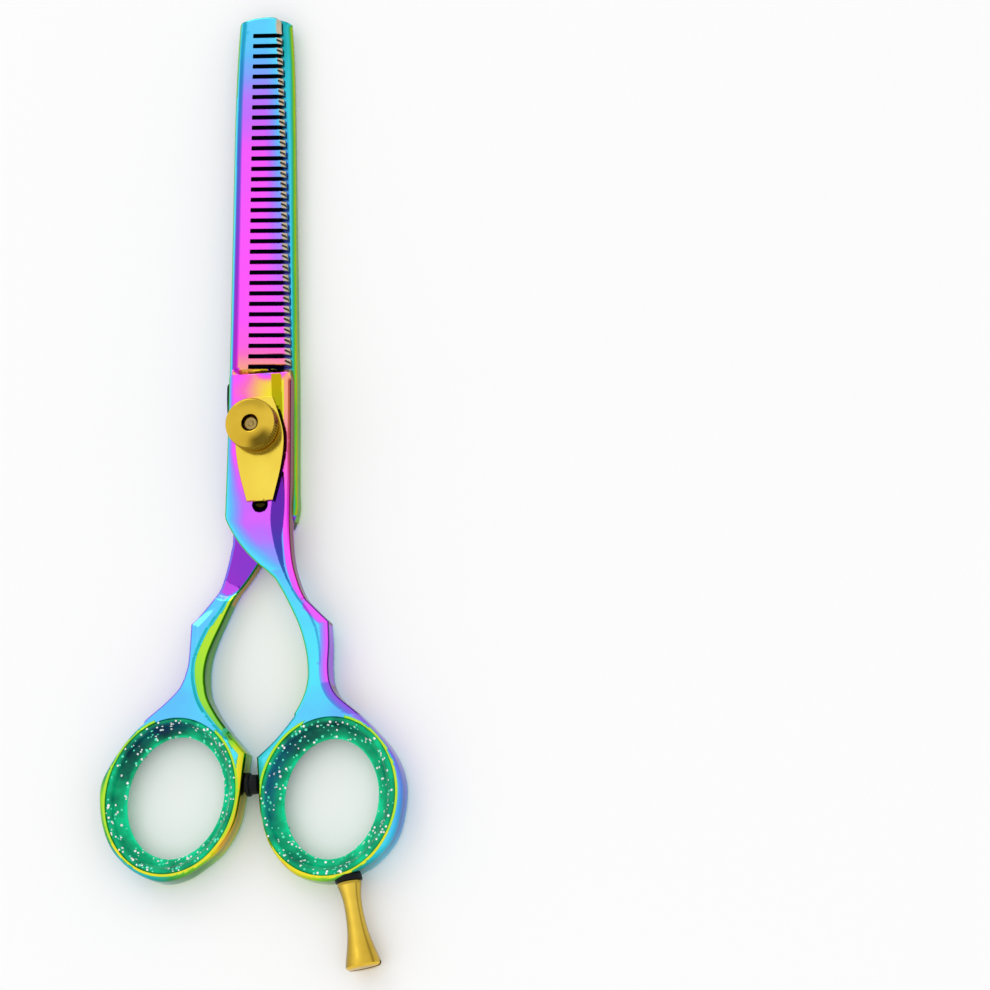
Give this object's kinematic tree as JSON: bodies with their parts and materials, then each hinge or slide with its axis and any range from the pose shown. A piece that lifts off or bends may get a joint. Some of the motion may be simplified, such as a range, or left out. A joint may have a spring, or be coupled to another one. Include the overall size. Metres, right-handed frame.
{
  "type": "thinning shears",
  "caption": "Hairdresser's thinning shears with a comb blade, a plain blade, a tension knob, ringed finger holes with soft inserts and a screw-in finger rest.",
  "frame": {"origin": "on the pivot axis, at the flat head of the pivot screw", "axes": "+Y towards the blade tips, +Z along the pivot axis from the screw's head to the tension knob, +X towards the side of the finger ring"},
  "size_m": [0.0527, 0.1674, 0.0103],
  "materials": {
    "rainbow_steel": "polished steel with a rainbow titanium coating",
    "gold_steel": "polished steel with a gold coating",
    "bare_steel": "turned steel",
    "green_silicone": "clear green silicone with glitter",
    "black_rubber": "matt black rubber",
    "white_nylon": "plain nylon"
  },
  "bodies": {
    "finger_half": {"toothed_half": "rainbow_steel", "finger_insert": "green_silicone", "leaf_spring": "gold_steel", "bearing_washer": "white_nylon", "finger_rest_washer": "black_rubber"},
    "thumb_half": {"plain_half": "rainbow_steel", "thumb_insert": "green_silicone", "bumper": "black_rubber", "pivot_screw": "bare_steel"},
    "knob": {"tension_knob": "gold_steel"},
    "rest": {"finger_rest": "gold_steel"}
  },
  "joints": [
    {"name": "blade_pivot", "type": "hinge", "parent": "finger_half", "child": "thumb_half", "pos_m": [0, 0, 0.0031], "axis": [0, 0, -1], "range_deg": [0, 70]},
    {"name": "knob_turn", "type": "hinge", "parent": "thumb_half", "child": "knob", "pos_m": [0, 0, 0.0083], "axis": [0, 0, 1], "range_deg": [-180, 180]},
    {"name": "rest_turn", "type": "hinge", "parent": "finger_half", "child": "rest", "pos_m": [0.01555, -0.07715, 0.0031], "axis": [0.1771, -0.9842, 0], "range_deg": [0, 360]}
  ]
}
